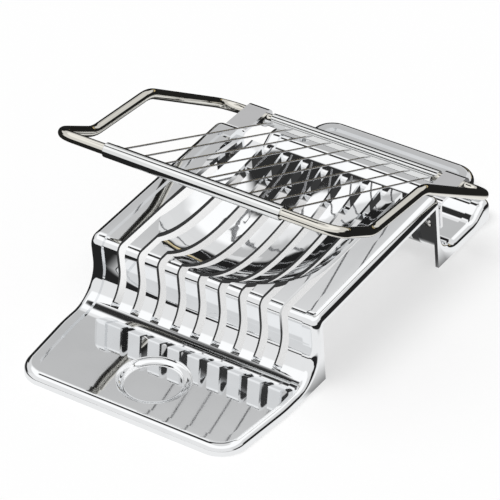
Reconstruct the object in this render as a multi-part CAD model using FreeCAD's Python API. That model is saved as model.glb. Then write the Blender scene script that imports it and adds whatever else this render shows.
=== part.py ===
import FreeCAD, Part
import math
import os
from FreeCAD import Vector

# Egg slicer of chromed steel: a pressed sheet base with a slotted egg hollow,
# and a wire harp that swings on a hinge bar held by two riveted knuckles.
# Millimetres, +Z up, the tray towards -Y, origin on the table under the middle.

# Base pressing, overall
base_length = 144.4
bed_width = 72.0
tray_front_width = 67.0
foot_width = 53.0
sheet = 1.0

# Base pressing, side profile from the tray at the front to the foot plate at the rear
tray_length = 37.8
rim_height = 3.0
bed_front_height = 21.9
bed_rear_height = 24.5
front_wall_lean = 2.0
rear_wall_lean = 3.1
trough_length = 18.0
foot_ramp = 4.5
foot_length = 16.3
foot_height = 6.0
wall_foot_radius = 9.0
bed_nose_radius = 3.4
bed_crest_radius = 3.0
trough_front_radius = 9.0
trough_rear_radius = 7.0
foot_crest_radius = 3.0

# Base pressing, plan outline and border
tray_corner_radius = 8.0
taper_length = 25.0
side_blend_radius = 60.0
shoulder_length = 11.2
shoulder_radius = 3.0
foot_corner_radius = 7.0
border_width = 4.4
border_step = 0.6
border_round = 2.4
side_lip = 3.2

# Egg hollow, open to the rear, with its lowest point under the thick end of the egg
ear_width = 7.8
ear_length = 0.8
hollow_bottom_height = 13.0
hollow_bottom_offset = 28.2
hollow_front_radius = 42.4
hollow_front_run = 30.5
hollow_side_rise = 11.0
hollow_rear_rise = 8.3
hollow_edge_rise = 0.3
hollow_stations = 4

# Thumb recess in the tray
thumb_radius = 10.4
thumb_offset = 16.0
thumb_depth = 1.2
thumb_wall_run = 1.9

# Slots and wires
wire_count = 9
wire_diameter = 0.5
slot_width = 2.6
slot_side_margin = 1.22
slot_depth_below_wire = 2.2
slot_rear_height = 5.6

# Harp, drawn from the hinge bar: forward along the wires, and square to them
rod_diameter = 3.0
arm_side_gap = 5.8
hinge_gap = 14.5
hinge_drop = 5.8
front_bar_reach = 9.6
rear_bend_back = 44.3
rear_bend_up = 6.8
front_bend_back = 19.4
front_bend_up = -1.9
arm_bend_radius = 12.0
corner_bend_radius = 6.0
rod_butt_gap = 0.2
rest_angle = 23.4
closed_bar_clearance = 0.7

# Folded strips that clench the wires on the front bar and on the hinge bar
strip_sheet = 0.5
strip_fin = 3.2
strip_overhang = 1.4
clench_clearance = 0.02

# Hinge knuckles and their rivets
knuckle_width = 6.6
knuckle_sheet = 1.0
knuckle_side_gap = 0.6
hinge_clearance = 0.06
knuckle_bend_radius = 1.2
knuckle_leaf = 9.2
knuckle_curl_angle = 285.0
ear_seat_length = 6.0
rivet_diameter = 1.8
rivet_head_diameter = 3.0
rivet_head_height = 0.8
rivet_clearance = 0.02
rivets_per_knuckle = 2
rivet_first = 3.9
rivet_spacing = 3.4

# Reach of the cutting solids past the sheet they cut, and the distance that counts as touching
margin = 5.0
high = 60.0
touching = 0.0001

# Places that follow from the sizes above
front_y = -base_length / 2
rear_y = base_length / 2
wall_y = front_y + tray_length
bed_length = base_length - tray_length - rear_wall_lean - trough_length - foot_ramp - foot_length
crest_y = wall_y + bed_length
trough_y = crest_y + rear_wall_lean
hinge_y = crest_y + hinge_gap
hinge_height = bed_rear_height - hinge_drop
foot_y = trough_y + trough_length
hollow_bottom_y = wall_y + hollow_bottom_offset
hollow_rear_y = crest_y - ear_length
hollow_rear_run = hollow_rear_y - hollow_bottom_y
hollow_half_width = bed_width / 2 - ear_width
bed_slope = (bed_rear_height - bed_front_height) / bed_length
rod_radius = rod_diameter / 2
hinge = Vector(0, hinge_y, hinge_height)
harp_half_width = bed_width / 2 + arm_side_gap + rod_radius
wire_span = hinge_gap + bed_length + front_bar_reach
wire_pitch = 2 * (hollow_half_width - slot_side_margin - slot_width / 2) / (wire_count - 1)
wire_places = [(i - (wire_count - 1) / 2) * wire_pitch for i in range(wire_count)]
strip_half_length = wire_places[-1] + strip_overhang
closed_bar_height = rim_height + closed_bar_clearance + rod_radius
closed_angle = -math.degrees(math.asin((hinge_height - closed_bar_height) / wire_span))


def rounded_edges(corners):
    """Straight runs through the corners (point, radius), with a tangent arc at each inner corner."""
    edges = []
    start = corners[0][0]
    for (before, _), (point, radius), (after, _) in zip(corners, corners[1:], corners[2:]):
        towards = (before - point).normalize()
        away = (after - point).normalize()
        if radius > 0:
            half_turn = (math.pi - towards.getAngle(away)) / 2
            setback = radius * math.tan(half_turn)
            middle = point + (towards + away).normalize() * (radius / math.cos(half_turn) - radius)
            first = point + towards * setback
            last = point + away * setback
            edges.append(Part.LineSegment(start, first).toShape())
            edges.append(Part.Arc(first, middle, last).toShape())
            start = last
        else:
            edges.append(Part.LineSegment(start, point).toShape())
            start = point
    edges.append(Part.LineSegment(start, corners[-1][0]).toShape())
    return edges


def closed_face(corners):
    """Flat face inside a ring of corners, the first of which is sharp."""
    return Part.Face(Part.Wire(rounded_edges(corners + corners[:1])))


def inset(profile, distance):
    """Side profile (y, z, radius) moved into the sheet, which lies on the right of its run to the rear."""
    runs = []
    for (y0, z0, _), (y1, z1, _) in zip(profile, profile[1:]):
        length = math.hypot(y1 - y0, z1 - z0)
        runs.append(((y1 - y0) / length, (z1 - z0) / length))
    moved = []
    for i, (y, z, radius) in enumerate(profile):
        u = runs[max(i - 1, 0)]
        v = runs[min(i, len(runs) - 1)]
        turn = u[0] * v[1] - u[1] * v[0]
        scale = distance / (1 + u[0] * v[0] + u[1] * v[1])
        y += scale * (u[1] + v[1])
        z -= scale * (u[0] + v[0])
        if radius > 0:
            radius += math.copysign(distance, turn)
        moved.append((y, z, max(radius, 0)))
    return moved


def across(profile, x0, x1):
    """Solid of a closed side profile (y, z, radius) between two places across the base."""
    face = closed_face([(Vector(x0, y, z), radius) for y, z, radius in profile])
    return face.extrude(Vector(x1 - x0, 0, 0))


def both_sides(shape):
    """The solid and its mirror image across the middle."""
    return shape.fuse(shape.mirror(Vector(), Vector(1, 0, 0)))


def base_profile(bed_end_y):
    """Top of the sheet from the tray's front edge to the end of the foot plate, for a bed that ends there."""
    bed_end_height = bed_front_height + bed_slope * (bed_end_y - wall_y)
    trough_start = bed_end_y + rear_wall_lean
    return [
        (front_y, -margin, 0),
        (front_y, rim_height, 0),
        (wall_y + front_wall_lean, rim_height, wall_foot_radius),
        (wall_y, bed_front_height, bed_nose_radius),
        (bed_end_y, bed_end_height, bed_crest_radius),
        (trough_start, rim_height, trough_front_radius),
        (foot_y, rim_height, trough_rear_radius),
        (foot_y + foot_ramp, foot_height, foot_crest_radius),
        (rear_y, foot_height, 0),
        (rear_y, -margin, 0),
    ]


def plan(distance, low):
    """Upright prism of the base's outline seen from above, moved inwards by a distance."""
    half_bed = bed_width / 2
    half_foot = foot_width / 2
    side = [
        (tray_front_width / 2, front_y, tray_corner_radius),
        (half_bed, front_y + taper_length, side_blend_radius),
        (half_bed, rear_y - shoulder_length, shoulder_radius),
        (half_foot, rear_y - shoulder_length, shoulder_radius),
        (half_foot, rear_y, foot_corner_radius),
    ]
    corners = [(Vector(0, front_y, low), 0)]
    corners += [(Vector(x, y, low), radius) for x, y, radius in side]
    corners += [(Vector(-x, y, low), radius) for x, y, radius in reversed(side)]
    outline = closed_face(corners)
    if distance > 0:
        outline = outline.makeOffset2D(-distance)
    return outline.extrude(Vector(0, 0, high))


def sheet_top(distance):
    """Solid below the top of the sheet moved in by a distance: the bed's middle, and the taller ears."""
    half = bed_width / 2
    middle = across(inset(base_profile(hollow_rear_y), distance), -half, half)
    ear_inner = hollow_half_width + max(distance - border_step, 0)
    ear = across(inset(base_profile(crest_y), distance), ear_inner, half)
    return middle.fuse(both_sides(ear))


def hollow(wall):
    """Space of the egg hollow, grown by a wall: a bowl at the front that flattens to a ramp at the rear."""
    half = hollow_half_width + wall
    sections = []
    for step in range(-hollow_stations, hollow_stations + 2):
        share = step / hollow_stations
        if step < 0:
            reach = share * hollow_front_run
            floor = hollow_front_radius - math.sqrt(hollow_front_radius ** 2 - reach ** 2)
            rise = hollow_side_rise
        else:
            reach = share * hollow_rear_run
            floor = hollow_rear_rise * share ** 2
            rise = max(hollow_side_rise * (1 - share ** 2), hollow_edge_rise)
        y = hollow_bottom_y + reach
        floor += hollow_bottom_height - wall
        left = Vector(-half, y, floor + rise)
        right = Vector(half, y, floor + rise)
        bowl = Part.Arc(left, Vector(0, y, floor), right).toShape()
        top_left = Vector(-half, y, high)
        top_right = Vector(half, y, high)
        lid = Part.makePolygon([right, top_right, top_left, left]).Edges
        sections.append(Part.Wire([bowl] + lid))
    return Part.makeLoft(sections, True, False)


def thumb_recess(wall):
    """Round dish for the thumb in the tray floor, with a sloped wall, grown by a sheet's wall."""
    top = rim_height - border_step
    rim = top + margin
    slope = thumb_wall_run / thumb_depth
    low_radius = thumb_radius - thumb_wall_run + wall
    rim_radius = thumb_radius + margin * slope + wall
    centre = Vector(0, front_y + thumb_offset, top - thumb_depth - wall)
    return Part.makeCone(low_radius, rim_radius + wall * slope, rim - centre.z, centre)


def wire_height(y, angle):
    """Height of the wires' line over a place along the base, for a harp at that angle."""
    return hinge_height + (hinge_y - y) * math.tan(math.radians(angle))


def slots():
    """One upright slab for each wire, from below its closed line up, and on down the rear wall."""
    y0 = wall_y + front_wall_lean - wall_foot_radius
    y1 = hollow_rear_y - border_step - 2 * sheet
    y2 = trough_y - ear_length + trough_front_radius
    z0 = wire_height(y0, closed_angle) - slot_depth_below_wire
    z1 = wire_height(y1, closed_angle) - slot_depth_below_wire
    z2 = slot_rear_height
    side = [(y0, z0, 0), (y1, z1, 0), (y1, z2, 0), (y2, z2, 0), (y2, high, 0), (y0, high, 0)]
    return [across(side, x - slot_width / 2, x + slot_width / 2) for x in wire_places]


def ear_face():
    """Directions down and out of the ears' rear face, and the point on it level with the knuckle's arm."""
    run = Vector(0, rear_wall_lean, rim_height - bed_rear_height).normalize()
    outward = Vector(0, -run.z, run.y)
    arm_height = hinge_height + rod_radius + hinge_clearance + knuckle_sheet
    leaf_top = Vector(0, crest_y, bed_rear_height) + run * ((arm_height - bed_rear_height) / run.z)
    return run, outward, leaf_top


def rivet_axes():
    """Centre on the ear's rear face, and outward direction, of each rivet."""
    run, outward, leaf_top = ear_face()
    knuckle_x = hollow_half_width + knuckle_side_gap + knuckle_width / 2
    axes = []
    for x in (-knuckle_x, knuckle_x):
        for i in range(rivets_per_knuckle):
            axes.append((leaf_top + run * (rivet_first + i * rivet_spacing) + Vector(x, 0, 0), outward))
    return axes


def rivet_holes():
    """Holes for the rivets through knuckle and ear."""
    radius = rivet_diameter / 2 + rivet_clearance
    return [Part.makeCylinder(radius, 2 * margin, place - out * margin, out) for place, out in rivet_axes()]


def rim_edges(solid, outline):
    """Edges where the sheet's top meets the upright faces of its outline."""
    skin = Part.makeCompound([face for face in outline.Faces if abs(face.normalAt(0, 0).z) < 0.5])
    rim = []
    for edge in solid.Edges:
        first, last = edge.ParameterRange
        points = [edge.valueAt(first + share * (last - first)) for share in (0.1, 0.5, 0.9)]
        if any(skin.distToShape(Part.Vertex(point))[0] > touching for point in points):
            continue
        normals = [face.normalAt(*face.Surface.parameter(points[1]))
                   for face in solid.ancestorsOfType(edge, Part.Face)]
        sharp = abs(normals[0].dot(normals[1])) < 0.99
        if sharp and points[1].z > rim_height / 2:
            rim.append(edge)
    return rim


def ear_seats():
    """Blocks over the ears' rear ends, where the sheet stays at border level for the knuckles."""
    half = bed_width / 2
    block = Part.makeBox(half, ear_seat_length + hinge_gap, high,
                         Vector(hollow_half_width, crest_y - ear_seat_length, 0))
    return both_sides(block)


def side_windows():
    """Open sides under the bed, which leave a lip below the border."""
    arch = inset(base_profile(crest_y), side_lip)[2:6]
    arch[0] = arch[0][:2] + (0,)
    arch[-1] = arch[-1][:2] + (0,)
    half = bed_width / 2
    return both_sides(across(arch, half - 2 * sheet, half + margin))


def base_pressing():
    """The pressed sheet: outer form less the space under it, with border, hollow, slots and open sides."""
    outline = plan(0, 0)
    outer = sheet_top(0).common(outline).removeSplitter().Solids[0]
    outer = outer.makeFillet(border_round, rim_edges(outer, outline))
    inside_border = plan(border_width, 0).cut(sheet_top(border_step)).cut(ear_seats())
    under = sheet_top(border_step + sheet).common(plan(sheet, -margin))
    under = under.cut(hollow(sheet)).cut(thumb_recess(sheet))
    pressing = outer.cut(inside_border).cut(hollow(0)).cut(thumb_recess(0)).cut(under)
    return pressing.cut([side_windows()] + slots() + rivet_holes()).removeSplitter()


def knuckle():
    """Strap on the right ear: a leaf down its rear face, an arm to the hinge bar and a curl round the bar."""
    run, outward, leaf_top = ear_face()
    x0 = hollow_half_width + knuckle_side_gap
    low = leaf_top.z - knuckle_sheet
    leaf_top.x = x0
    leaf_end = leaf_top + run * knuckle_leaf
    behind = leaf_end + outward * knuckle_sheet
    inner_bend = behind + run * ((low - behind.z) / run.z)
    strap = [
        (Vector(x0, hinge_y, low), 0),
        (Vector(x0, hinge_y, leaf_top.z), 0),
        (leaf_top, knuckle_bend_radius + knuckle_sheet),
        (leaf_end, 0),
        (behind, 0),
        (inner_bend, knuckle_bend_radius),
    ]
    across_strap = Vector(knuckle_width, 0, 0)
    leaf = closed_face(strap).extrude(across_strap)
    start = [strap[0][0], strap[1][0], strap[1][0] + across_strap, strap[0][0] + across_strap]
    section = Part.Face(Part.makePolygon(start + start[:1]))
    curl = section.revolve(hinge, Vector(-1, 0, 0), knuckle_curl_angle)
    return leaf.fuse(curl).cut(rivet_holes()).removeSplitter()


def rivet(place, outward):
    """Round rivet with a domed head on each side, through the knuckle's leaf and the ear's wall."""
    inner = place - outward * (border_step + sheet)
    outer = place + outward * knuckle_sheet
    head_radius = rivet_head_diameter / 2
    dome_radius = (head_radius ** 2 + rivet_head_height ** 2) / (2 * rivet_head_height)
    sunk = dome_radius - rivet_head_height
    low = math.degrees(math.asin(sunk / dome_radius))
    body = Part.makeCylinder(rivet_diameter / 2, (outer - inner).Length, inner, outward)
    outer_head = Part.makeSphere(dome_radius, outer - outward * sunk, outward, low, 90)
    inner_head = Part.makeSphere(dome_radius, inner + outward * sunk, -outward, low, 90)
    return body.fuse([outer_head, inner_head]).removeSplitter()


def harp_point(forward, up, x=0.0):
    """Place on the harp as it rests, from distances along and square to the wires."""
    angle = math.radians(rest_angle)
    along = Vector(0, -math.cos(angle), math.sin(angle))
    square = Vector(0, math.sin(angle), math.cos(angle))
    return hinge + along * forward + square * up + Vector(x, 0, 0)


def harp_frame():
    """One rod bent to a loop, whose ends butt inside the sleeve on the hinge bar."""
    side = [
        (harp_point(0, 0, harp_half_width), corner_bend_radius),
        (harp_point(wire_span - rear_bend_back, rear_bend_up, harp_half_width), arm_bend_radius),
        (harp_point(wire_span - front_bend_back, front_bend_up, harp_half_width), arm_bend_radius),
        (harp_point(wire_span, 0, harp_half_width), corner_bend_radius),
    ]
    other_side = [(Vector(-point.x, point.y, point.z), radius) for point, radius in reversed(side)]
    start = harp_point(0, 0, rod_butt_gap / 2)
    end = harp_point(0, 0, -rod_butt_gap / 2)
    path = Part.Wire(rounded_edges([(start, 0)] + side + other_side + [(end, 0)]))
    section = Part.Wire(Part.makeCircle(rod_radius, start, Vector(1, 0, 0)))
    return path.makePipeShell([section], True, False)


def wire_strip(place, turn):
    """Sleeve folded round a bar, with its two edges brought together as a fin that clenches the wires."""
    inner_radius = rod_radius + clench_clearance
    outer_radius = inner_radius + strip_sheet
    slit = wire_diameter + 2 * clench_clearance
    length = 2 * strip_half_length
    left = Vector(-strip_half_length, 0, 0)
    along = Vector(1, 0, 0)
    fin_thickness = slit + 2 * strip_sheet
    reach = outer_radius + strip_fin
    sleeve = Part.makeCylinder(outer_radius, length, left, along)
    fin = Part.makeBox(length, reach, fin_thickness, left - Vector(0, reach, fin_thickness / 2))
    gap = Part.makeBox(length, 2 * reach, slit, left - Vector(0, 2 * reach, slit / 2))
    bore = Part.makeCylinder(inner_radius, length, left, along)
    strip = sleeve.fuse(fin).cut(bore).cut(gap).removeSplitter()
    strip.rotate(Vector(), along, turn)
    strip.translate(place)
    return strip


def cutting_wire(x):
    """Straight wire from the sleeve on the hinge bar to the sleeve on the front bar."""
    end = rod_radius + clench_clearance
    start = harp_point(end, 0, x)
    length = wire_span - 2 * end
    return Part.makeCylinder(wire_diameter / 2, length, start, harp_point(1, 0) - harp_point(0, 0))


def write(name, shape):
    """One file for each named piece."""
    solids = shape.Solids
    print(name, len(solids), "solids", round(shape.Volume, 1), "mm3", shape.isValid())
    single = solids[0] if len(solids) == 1 else Part.makeCompound(solids)
    single.exportStep("parts/" + name + ".step")


os.makedirs("parts", exist_ok=True)
write("base_pressing", base_pressing())
right_knuckle = knuckle()
write("hinge_knuckle_right", right_knuckle)
write("hinge_knuckle_left", right_knuckle.mirror(Vector(), Vector(1, 0, 0)))
write("knuckle_rivets", Part.makeCompound([rivet(place, outward) for place, outward in rivet_axes()]))
write("harp_frame", harp_frame())
write("front_wire_strip", wire_strip(harp_point(wire_span, 0), 180 - rest_angle))
write("rear_wire_strip", wire_strip(hinge, -rest_angle))
for number, x in enumerate(wire_places, 1):
    write("cutting_wire_" + str(number), cutting_wire(x))
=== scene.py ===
import math

import bmesh
import bpy
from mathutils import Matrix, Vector


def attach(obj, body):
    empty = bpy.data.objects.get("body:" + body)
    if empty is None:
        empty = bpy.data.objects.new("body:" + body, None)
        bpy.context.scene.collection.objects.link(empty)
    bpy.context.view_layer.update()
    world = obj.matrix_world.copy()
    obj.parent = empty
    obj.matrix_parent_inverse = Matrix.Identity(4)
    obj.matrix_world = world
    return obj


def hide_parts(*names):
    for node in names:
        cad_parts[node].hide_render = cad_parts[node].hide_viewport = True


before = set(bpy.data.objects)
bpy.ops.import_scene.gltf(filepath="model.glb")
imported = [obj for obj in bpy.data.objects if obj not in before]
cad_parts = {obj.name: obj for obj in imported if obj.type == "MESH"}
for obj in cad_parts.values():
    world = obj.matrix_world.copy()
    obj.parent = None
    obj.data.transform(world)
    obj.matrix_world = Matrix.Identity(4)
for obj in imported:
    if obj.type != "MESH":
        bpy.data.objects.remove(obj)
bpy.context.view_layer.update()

# Pressed base: one sheet of steel drawn into tray, slotted egg hollow, trough and foot plate,
# pierced, trimmed, polished and chromed. The piece keeps the CAD pressing's own surface, merged
# to one skin, but for the thumb recess, which gets rounder bends.


class Socket:
    """A value in a node tree, with operators that add Math nodes."""

    def __init__(self, tree, output=None):
        self.tree = tree
        self.output = output

    def node(self, kind, settings=None, sockets=None, output=0):
        """One node of any type: its settings first, then values or links for its sockets."""
        made = self.tree.nodes.new(kind)
        for name, value in (settings or {}).items():
            setattr(made, name, value)
        for name, value in (sockets or {}).items():
            if isinstance(value, Socket):
                self.tree.links.new(value.output, made.inputs[name])
            else:
                made.inputs[name].default_value = value
        return Socket(self.tree, made.outputs[output] if made.outputs else None)

    def math(self, operation, first, second):
        """A Math node on two values."""
        return self.node("ShaderNodeMath", {"operation": operation}, {0: first, 1: second})

    def __add__(self, other):
        return self.math("ADD", self, other)

    def __radd__(self, other):
        return self.math("ADD", other, self)

    def __sub__(self, other):
        return self.math("SUBTRACT", self, other)

    def __rsub__(self, other):
        return self.math("SUBTRACT", other, self)

    def __mul__(self, other):
        return self.math("MULTIPLY", self, other)

    def __rmul__(self, other):
        return self.math("MULTIPLY", other, self)


def metal(name, colour, roughness, ripple, grain):
    """Bright metal with wipe marks, hairlines along its grain and a faint ripple left by the tools."""
    material = bpy.data.materials.new(name)
    material.use_nodes = True
    material.node_tree.nodes.clear()
    start = Socket(material.node_tree)
    place = start.node("ShaderNodeTexCoord", output="Object")
    wipes = start.node("ShaderNodeTexNoise", {}, {
        "Vector": place, "Scale": 55.0, "Detail": 4.0, "Distortion": 1.5})
    along = start.node("ShaderNodeMapping", {}, {"Vector": place, "Scale": grain})
    hairs = start.node("ShaderNodeTexNoise", {}, {"Vector": along, "Scale": 1.0, "Detail": 3.0})
    waves = start.node("ShaderNodeTexNoise", {}, {"Vector": place, "Scale": 70.0, "Detail": 1.0})
    dulled = tuple(0.9 * part for part in colour)
    tint = start.node("ShaderNodeMix", {"data_type": "RGBA"}, {
        0: wipes, 6: (*colour, 1), 7: (*dulled, 1)}, output=2)
    bump = start.node("ShaderNodeBump", {}, {"Height": waves + 0.01 * hairs, "Distance": ripple})
    sheen = roughness * (0.5 + wipes * hairs * 2.0)
    surface = start.node("ShaderNodeBsdfPrincipled", {}, {
        "Base Color": tint, "Metallic": 1.0, "Roughness": sheen, "Normal": bump})
    start.node("ShaderNodeOutputMaterial", {}, {"Surface": surface})
    return material


def piece_from(mesh, material):
    """New object of a mesh, at the origin, in that material."""
    mesh.materials.clear()
    mesh.materials.append(material)
    piece = bpy.data.objects.new(mesh.name, mesh)
    bpy.context.scene.collection.objects.link(piece)
    return piece


def smooth_skin(node, name, material, reshape=None):
    """Copy of a CAD node merged to one skin, flat where it is flat and smooth up to its real edges."""
    flat_within = math.radians(0.3)
    edge_from = math.radians(30)
    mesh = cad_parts[node].data.copy()
    mesh.name = name
    skin = bmesh.new()
    skin.from_mesh(mesh)
    bmesh.ops.remove_doubles(skin, verts=skin.verts, dist=1e-6)
    if reshape:
        reshape(skin)
    bmesh.ops.dissolve_limit(skin, angle_limit=flat_within, verts=skin.verts, edges=skin.edges)
    skin.normal_update()
    for face in skin.faces:
        face.smooth = True
    for edge in skin.edges:
        edge.smooth = edge.calc_face_angle() < edge_from
    skin.to_mesh(mesh)
    skin.free()
    piece = piece_from(mesh, material)
    even = piece.modifiers.new("even_shading", "WEIGHTED_NORMAL")
    even.keep_sharp = True
    return piece


def rounded_recess(skin):
    """The tray's thumb recess with its wall drawn in two round bends, in place of a plain cone."""
    centre = Vector((0.0, -0.0562))
    radius = 0.0104
    depth = 0.0012
    steepest = math.radians(45)
    steps = 8
    cone = [face for face in skin.faces if face.normal.z > 0.1
            and all((vert.co.xy - centre).length < radius + 1e-5 for vert in face.verts)]
    top = max(vert.co.z for face in cone for vert in face.verts)
    rim = {vert for face in cone for vert in face.verts if vert.co.z > top - 1e-6}
    turn = {vert: math.atan2(vert.co.y - centre.y, vert.co.x - centre.x) for vert in rim}
    ring = sorted(rim, key=turn.get)
    turns = [turn[vert] for vert in ring]
    bmesh.ops.delete(skin, geom=cone, context="FACES")
    bend = depth / (2 - 2 * math.cos(steepest))
    tilts = [steepest * i / steps for i in range(steps + 1)]
    floor_radius = radius - 2 * bend * math.sin(steepest)
    profile = [(radius - bend * math.sin(tilt), top - bend * (1 - math.cos(tilt))) for tilt in tilts[1:]]
    profile += [(floor_radius + bend * math.sin(tilt), top - depth + bend * (1 - math.cos(tilt)))
                for tilt in reversed(tilts[:-1])]
    for reach, level in profile:
        around = [centre + reach * Vector((math.cos(angle), math.sin(angle))) for angle in turns]
        inner = [skin.verts.new((*point, level)) for point in around]
        for i in range(len(ring)):
            k = (i + 1) % len(ring)
            skin.faces.new((ring[i], ring[k], inner[k], inner[i]))
        ring = inner
    skin.faces.new(ring)


base_chrome = metal("base_chrome", colour=(0.86, 0.87, 0.88), roughness=0.04, ripple=0.000012,
                    grain=(1200.0, 60.0, 1200.0))
base = smooth_skin("base_pressing", "pressed_base", base_chrome, rounded_recess)
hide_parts("base_pressing")
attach(base, "base")

# Harp frame: one steel rod bent to a loop that sets the wires' length, its ends butted inside
# the sleeve on the hinge bar. Chromed like the base, in a slightly darker and warmer tone.
hinge = Vector((0.0, 0.0448, 0.0187))
harp_angle = math.radians(23.4)
wire_span = 0.0888
rod_radius = 0.0015
arm_x = 0.0433
crank_top = (0.0445, 0.0068)
crank_foot = (0.0694, -0.0019)
corner_bend = 0.006
crank_bend = 0.012
butt_gap = 0.0002


def on_harp(forward, up, x):
    """Place on the harp at rest, from distances along the wires, square to them and across."""
    along = Vector((0, -math.cos(harp_angle), math.sin(harp_angle)))
    square = Vector((0, math.sin(harp_angle), math.cos(harp_angle)))
    return hinge + along * forward + square * up + Vector((x, 0, 0))


def grown(mesh, material, build, values):
    """Piece grown from a mesh by a Geometry Nodes tree with named inputs, made plain."""
    tree = bpy.data.node_groups.new(mesh.name, "GeometryNodeTree")
    tree.interface.new_socket("Geometry", in_out="INPUT", socket_type="NodeSocketGeometry")
    tree.interface.new_socket("Geometry", in_out="OUTPUT", socket_type="NodeSocketGeometry")
    for name, value in values.items():
        kind = {int: "NodeSocketInt", float: "NodeSocketFloat"}.get(type(value), "NodeSocketVector")
        tree.interface.new_socket(name, in_out="INPUT", socket_type=kind)
    entry = tree.nodes.new("NodeGroupInput")
    given = {socket.name: Socket(tree, socket) for socket in entry.outputs if socket.name}
    start = Socket(tree)
    shape = build(start, given)
    plain = start.node("GeometryNodeRealizeInstances", {}, {0: shape})
    dressed = start.node("GeometryNodeSetMaterial", {}, {"Geometry": plain, "Material": material})
    start.node("NodeGroupOutput", {}, {0: dressed})
    raw = bpy.data.objects.new(mesh.name + "_path", mesh)
    bpy.context.scene.collection.objects.link(raw)
    nodes = raw.modifiers.new("grow", "NODES")
    nodes.node_group = tree
    for item in tree.interface.items_tree:
        if item.name in values:
            nodes[item.identifier] = values[item.name]
    made = bpy.data.meshes.new_from_object(raw.evaluated_get(bpy.context.evaluated_depsgraph_get()))
    name = mesh.name
    bpy.data.objects.remove(raw)
    bpy.data.meshes.remove(mesh)
    made.name = name
    return piece_from(made, material)


def bent_rod(start, given):
    """Round rod along a path of straight runs, bent at each corner to the radius stored there."""
    path = start.node("GeometryNodeMeshToCurve", {}, {"Mesh": given["Geometry"]})
    radius = start.node("GeometryNodeInputNamedAttribute", {"data_type": "FLOAT"}, {"Name": "bend"})
    bent = start.node("GeometryNodeFilletCurve", {"mode": "POLY"}, {
        "Curve": path, "Count": 20, "Radius": radius, "Limit Radius": True})
    ring = start.node("GeometryNodeCurvePrimitiveCircle", {}, {
        "Resolution": given["Sides"], "Radius": given["Radius"]})
    rod = start.node("GeometryNodeCurveToMesh", {}, {
        "Curve": bent, "Profile Curve": ring, "Fill Caps": True})
    return start.node("GeometryNodeSetShadeSmooth", {}, {"Geometry": rod})


side_run = [
    (on_harp(0, 0, arm_x), corner_bend),
    (on_harp(*crank_top, arm_x), crank_bend),
    (on_harp(*crank_foot, arm_x), crank_bend),
    (on_harp(wire_span, 0, arm_x), corner_bend),
]
far_side = [(Vector((-point.x, point.y, point.z)), bend) for point, bend in reversed(side_run)]
butts = [(on_harp(0, 0, x), 0.0) for x in (butt_gap / 2, -butt_gap / 2)]
rod_path = [butts[0], *side_run, *far_side, butts[1]]
rod_mesh = bpy.data.meshes.new("harp_rod")
rod_mesh.from_pydata([point for point, _ in rod_path], [(i, i + 1) for i in range(len(rod_path) - 1)], [])
bends = rod_mesh.attributes.new("bend", "FLOAT", "POINT")
bends.data.foreach_set("value", [bend for _, bend in rod_path])
rod_chrome = metal("rod_chrome", colour=(0.74, 0.72, 0.66), roughness=0.05, ripple=0.000004,
                   grain=(1500.0, 1500.0, 1500.0))
rod = grown(rod_mesh, rod_chrome, bent_rod, {"Radius": rod_radius, "Sides": 32})
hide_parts("harp_frame")
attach(rod, "harp")

# Wire strips: two thin strips folded lengthwise round the front bar and the hinge bar, with
# their edges pressed together as a fin that clenches the wires' ends. Chromed after folding.
strip_half = 0.02708
strip_sheet = 0.0005
strip_clearance = 0.00002
wire_radius = 0.00025
fin_length = 0.0032
edge_break = 0.00016
sleeve_radius = rod_radius + strip_clearance + strip_sheet
fin_half = wire_radius + strip_clearance + strip_sheet
fin_reach = sleeve_radius + fin_length


def wire_strip(name, place, angle, material):
    """Keyhole outline of sleeve and fin drawn along the bar, with broken edges."""
    open_half = math.asin(fin_half / sleeve_radius)
    sides = 40
    turns = [open_half + (2 * math.pi - 2 * open_half) * i / sides for i in range(sides + 1)]
    outline = [(-sleeve_radius * math.cos(turn), sleeve_radius * math.sin(turn)) for turn in turns]
    outline += [(-fin_reach, -fin_half), (-fin_reach, fin_half)]
    body = bmesh.new()
    rows = []
    for x in (-strip_half, strip_half):
        row = []
        for y, z in outline:
            turned_y = y * math.cos(angle) - z * math.sin(angle)
            turned_z = y * math.sin(angle) + z * math.cos(angle)
            row.append(body.verts.new(place + Vector((x, turned_y, turned_z))))
        rows.append(row)
    for i in range(len(outline)):
        k = (i + 1) % len(outline)
        body.faces.new((rows[0][i], rows[0][k], rows[1][k], rows[1][i]))
    body.faces.new(rows[0])
    body.faces.new(rows[1])
    bmesh.ops.recalc_face_normals(body, faces=body.faces)
    mesh = bpy.data.meshes.new(name)
    body.to_mesh(mesh)
    body.free()
    mesh.shade_smooth()
    mesh.set_sharp_from_angle(angle=math.radians(35))
    piece = piece_from(mesh, material)
    broken = piece.modifiers.new("broken_edges", "BEVEL")
    broken.width = edge_break
    broken.segments = 3
    broken.limit_method = "ANGLE"
    broken.angle_limit = math.radians(50)
    broken.harden_normals = True
    return piece


strip_chrome = metal("strip_chrome", colour=(0.82, 0.83, 0.83), roughness=0.06, ripple=0.000006,
                     grain=(60.0, 1500.0, 1500.0))
front_strip = wire_strip("front_strip", on_harp(wire_span, 0, 0), math.pi - harp_angle, strip_chrome)
rear_strip = wire_strip("rear_strip", hinge, -harp_angle, strip_chrome)
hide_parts("front_wire_strip")
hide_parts("rear_wire_strip")
for strip in (front_strip, rear_strip):
    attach(strip, "harp")

# Cutting wires: nine lengths of hard drawn stainless wire, stretched side by side over the harp.
# Their ends are clenched in the fins of the two strips and butt against the bars.
wire_count = 9
wire_pitch = 0.00642
wire_end = rod_radius + strip_clearance


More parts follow.
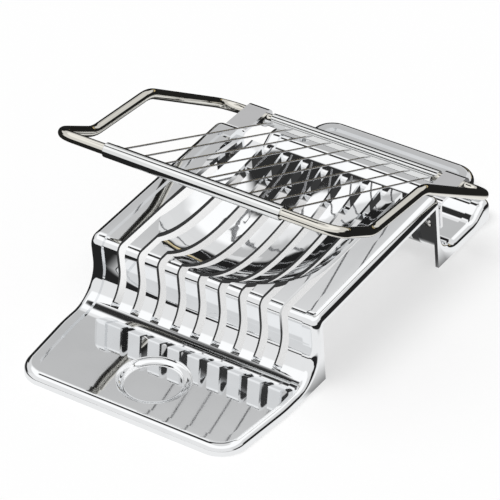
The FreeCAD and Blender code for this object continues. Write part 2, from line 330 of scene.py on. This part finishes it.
def strung_wires(start, given):
    """One straight wire at each place across the harp."""
    places = start.node("GeometryNodeMeshLine", {"mode": "OFFSET"}, {
        "Count": given["Count"], "Start Location": given["First"], "Offset": given["Pitch"]})
    line = start.node("GeometryNodeCurvePrimitiveLine", {"mode": "POINTS"}, {"End": given["Run"]})
    ring = start.node("GeometryNodeCurvePrimitiveCircle", {}, {"Resolution": 12, "Radius": given["Radius"]})
    wire = start.node("GeometryNodeCurveToMesh", {}, {
        "Curve": line, "Profile Curve": ring, "Fill Caps": True})
    round_wire = start.node("GeometryNodeSetShadeSmooth", {}, {"Geometry": wire})
    return start.node("GeometryNodeInstanceOnPoints", {}, {"Points": places, "Instance": round_wire})


wire_steel = metal("wire_steel", colour=(0.55, 0.55, 0.56), roughness=0.22, ripple=0.000002,
                   grain=(2500.0, 120.0, 2500.0))
first_wire = on_harp(wire_end, 0, -wire_pitch * (wire_count - 1) / 2)
last_end = on_harp(wire_span - wire_end, 0, first_wire.x)
wires = grown(bpy.data.meshes.new("cutting_wires"), wire_steel, strung_wires, {
    "Count": wire_count, "Radius": wire_radius, "First": first_wire,
    "Pitch": Vector((wire_pitch, 0, 0)), "Run": last_end - first_wire})
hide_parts(*["cutting_wire_" + str(i + 1) for i in range(wire_count)])
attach(wires, "harp")

# Hinge knuckles: two steel straps riveted to the rear of the base's ears and curled round the
# hinge bar, on which the harp swings. Bent cold, then chromed.
knuckle_chrome = metal("knuckle_chrome", colour=(0.84, 0.84, 0.85), roughness=0.05, ripple=0.000004,
                       grain=(60.0, 1500.0, 1500.0))
for side in ("left", "right"):
    knuckle = smooth_skin("hinge_knuckle_" + side, "knuckle_" + side, knuckle_chrome)
    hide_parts("hinge_knuckle_" + side)
    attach(knuckle, "base")

# Knuckle rivets: four solid steel rivets, headed cold on both sides, that hold the two straps
# to the base. They stay bare and slightly dull.
rivet_axis = Vector((0.0, 0.98976, 0.14271))
rivets_per_strap = 2
first_rivet = Vector((-0.0321, 0.031027, 0.017357))
next_rivet = Vector((0.0, 0.000485, -0.003365))
shank_radius = 0.0009
shank_half = 0.0013
dome_radius = 0.00180625
dome_sunk = 0.00100625
dome_steps = 10
head_seat = 0.00001
tip_turn = math.radians(2)


def headed_rivets(start, given):
    """One rivet turned to its girth along the axis, set at each place on both straps."""
    axis = start.node("GeometryNodeMeshToCurve", {}, {"Mesh": given["Geometry"]})
    girth = start.node("GeometryNodeInputNamedAttribute", {"data_type": "FLOAT"}, {"Name": "girth"})
    ring = start.node("GeometryNodeCurvePrimitiveCircle", {}, {"Resolution": given["Sides"], "Radius": 1.0})
    turned = start.node("GeometryNodeCurveToMesh", {}, {
        "Curve": axis, "Profile Curve": ring, "Scale": girth, "Fill Caps": True})
    turned = start.node("GeometryNodeSetShadeSmooth", {}, {"Geometry": turned})
    bend = start.node("GeometryNodeInputMeshEdgeAngle")
    head_rim = bend.math("GREATER_THAN", bend, math.radians(35))
    turned = start.node("GeometryNodeSetShadeSmooth", {"domain": "EDGE"}, {
        "Geometry": turned, "Selection": head_rim, "Shade Smooth": False})
    on_strap = start.node("GeometryNodeMeshLine", {"mode": "OFFSET"}, {
        "Count": given["Per strap"], "Start Location": given["First"], "Offset": given["Next"]})
    straps = start.node("GeometryNodeMeshLine", {"mode": "OFFSET"}, {"Count": 2, "Offset": given["Across"]})
    places = start.node("GeometryNodeInstanceOnPoints", {}, {"Points": straps, "Instance": on_strap})
    places = start.node("GeometryNodeRealizeInstances", {}, {0: places})
    return start.node("GeometryNodeInstanceOnPoints", {}, {"Points": places, "Instance": turned})


dome_edge = math.acos(dome_sunk / dome_radius)
half_profile = [(shank_half - head_seat, shank_radius)]
for i in range(dome_steps + 1):
    turn = dome_edge + (tip_turn - dome_edge) * i / dome_steps
    along = shank_half - dome_sunk + dome_radius * math.cos(turn)
    half_profile.append((along, dome_radius * math.sin(turn)))
rivet_profile = [(-along, girth) for along, girth in reversed(half_profile)] + half_profile
rivet_mesh = bpy.data.meshes.new("strap_rivets")
rivet_mesh.from_pydata([rivet_axis * along for along, _ in rivet_profile],
                       [(i, i + 1) for i in range(len(rivet_profile) - 1)], [])
girths = rivet_mesh.attributes.new("girth", "FLOAT", "POINT")
girths.data.foreach_set("value", [girth for _, girth in rivet_profile])
rivet_steel = metal("rivet_steel", colour=(0.66, 0.65, 0.63), roughness=0.18, ripple=0.00001,
                    grain=(900.0, 900.0, 900.0))
rivets = grown(rivet_mesh, rivet_steel, headed_rivets, {
    "Sides": 32, "Per strap": rivets_per_strap, "First": first_rivet, "Next": next_rivet,
    "Across": Vector((-2 * first_rivet.x, 0, 0))})
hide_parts("knuckle_rivets")
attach(rivets, "base")

# Studio: a plain white table top under one soft lamp, which the camera sees. Mirrored rays meet
# a pale room instead, with light panels and dark bands, and a table that glows with a painted pool of light
# near the object and a painted shadow under the bed.
table_reach = 1.6
table_corners = [(table_reach * x, table_reach * y, 0) for x, y in ((-1, -1), (1, -1), (1, 1), (-1, 1))]
table_mesh = bpy.data.meshes.new("table_top")
table_mesh.from_pydata(table_corners, [], [(0, 1, 2, 3)])
table_white = bpy.data.materials.new("table_white")
table_white.use_nodes = True
table_white.node_tree.nodes.clear()
start = Socket(table_white.node_tree)
camera_ray = start.node("ShaderNodeLightPath", output="Is Camera Ray")
glossy_ray = start.node("ShaderNodeLightPath", output="Is Glossy Ray")
place = start.node("ShaderNodeTexCoord", output="Object")
x, y = (start.node("ShaderNodeSeparateXYZ", {}, {0: place}, output=i) for i in range(2))


def away_from(centre, half_x, half_y):
    """How far out on the table, where 1 is the edge of a rectangle round that centre."""
    off_x = x.math("ABSOLUTE", x - centre[0], 0) * (1 / half_x)
    off_y = y.math("ABSOLUTE", y - centre[1], 0) * (1 / half_y)
    return off_x.math("MAXIMUM", off_x, off_y)


def ramp(value, low, high, at_low, at_high):
    """One level below low, another above high, smooth between."""
    return value.node("ShaderNodeMapRange", {"interpolation_type": "SMOOTHSTEP"}, {
        "Value": value, "From Min": low, "From Max": high, "To Min": at_low, "To Max": at_high})


under_bed = away_from((0.0, 0.0), 0.035, 0.034)
round_object = away_from((0.01, -0.045), 0.03, 0.072)
# Mirrored rays see the table glow: a painted pool of light round the object, fading far off, and a painted
# shadow under the bed.
painted_light_and_shadow = ramp(round_object, 1.45, 1.7, 1.0, 0.02) * ramp(under_bed, 0.95, 1.2, 0.05, 1.0)
clear = ramp(under_bed, 0.95, 1.2, 0.6, 0.55)
matt = start.node("ShaderNodeBsdfDiffuse", {}, {"Color": (0.95, 0.95, 0.95, 1)})
white = start.node("ShaderNodeEmission", {}, {"Strength": 1.0})
mirrored = start.node("ShaderNodeEmission", {}, {"Strength": painted_light_and_shadow})
for_camera = start.node("ShaderNodeMixShader", {}, {0: clear * camera_ray, 1: matt, 2: white})
table_surface = start.node("ShaderNodeMixShader", {}, {0: glossy_ray, 1: for_camera, 2: mirrored})
start.node("ShaderNodeOutputMaterial", {}, {"Surface": table_surface})
table = piece_from(table_mesh, table_white)

world = bpy.data.worlds.new("studio")
bpy.context.scene.world = world
world.use_nodes = True
world.node_tree.nodes.clear()
start = Socket(world.node_tree)
direction = start.node("ShaderNodeTexCoord", output="Generated")
x, y, z = (start.node("ShaderNodeSeparateXYZ", {}, {0: direction}, output=i) for i in range(3))


def step(value, low, high):
    """0 below low, 1 above high, smooth between."""
    return ramp(value, low, high, 0.0, 1.0)


def height(degrees):
    """Height on the unit sky of a place that many degrees above the table."""
    return math.sin(math.radians(degrees))


back = step(x, -0.55, -0.48) * (1 - step(x, 0.48, 0.55))
back = back.math("MAXIMUM", back, 1 - step(y, 0.35, 0.5))
high_wall = step(z, height(16), height(21))
low_wall = 1.05 * back * step(z, height(9), height(13)) * (1 - step(z, height(29), height(32)))
grey_screen = step(x, -0.62, -0.56) * (1 - step(x, -0.32, -0.26)) * step(y, 0.4, 0.5)
pale_wall = z.math("MAXIMUM", high_wall * (1.02 - 0.3 * grey_screen), low_wall)
dark_skirting = (1 - step(x, -0.18, -0.12)) * step(y, 0.3, 0.4)
dark_skirting = dark_skirting * (1 - step(z, height(22), height(26)))
pale_wall = pale_wall * (1 - dark_skirting)
zenith = step(z, height(70), height(76))
hatch = step(z, height(58), height(61)) * (1 - zenith)
hatch = hatch * step(y, -0.16, -0.08) * step(0 - x, 0.0, 0.1)
ceiling = 0.45 * step(z, height(37), height(43)) - 1.45 * hatch - 0.45 * zenith
front_panel = 1.15 * step(0 - y, 0.15, 0.35) * step(z, height(-2), height(0))
window = step(z, height(4.5), height(5.5)) * (1 - step(z, height(7.5), height(8.5)))
window = 0.8 * window * step(y, 0.93, 0.96)
room = pale_wall + ceiling
glow = 0.02 + room.math("MAXIMUM", room, front_panel)
glossy_ray = start.node("ShaderNodeLightPath", output="Is Glossy Ray")
mirrored = start.node("ShaderNodeBackground", {}, {"Strength": glow})
window_light = start.node("ShaderNodeBackground", {}, {"Color": (1.0, 0.82, 0.45, 1), "Strength": window})
mirrored = start.node("ShaderNodeAddShader", {}, {0: mirrored, 1: window_light})
fill = start.node("ShaderNodeBackground", {}, {"Strength": 0.4})
seen = start.node("ShaderNodeMixShader", {}, {0: glossy_ray, 1: fill, 2: mirrored})
start.node("ShaderNodeOutputWorld", {}, {"Surface": seen})

lamp_data = bpy.data.lights.new("soft_lamp", "SUN")
lamp_data.energy = 2.4
lamp_data.angle = math.radians(50)
lamp = bpy.data.objects.new("soft_lamp", lamp_data)
bpy.context.scene.collection.objects.link(lamp)
lamp.rotation_euler = (math.radians(12), math.radians(-16), 0)
lamp.visible_glossy = False

half_view = math.radians(4.5)
camera_data = bpy.data.cameras.new("camera")
camera_data.sensor_width = 36.0
camera_data.lens = camera_data.sensor_width / 2 / math.tan(half_view)
camera = bpy.data.objects.new("camera", camera_data)
bpy.context.scene.collection.objects.link(camera)
camera.location = (0.376498, -0.596822, 0.508849)
aim = Vector((0.00169, -0.0122, 0.01843)) - camera.location
camera.rotation_euler = aim.to_track_quat("-Z", "Y").to_euler()
bpy.context.scene.camera = camera
bpy.context.scene.view_settings.view_transform = "Standard"
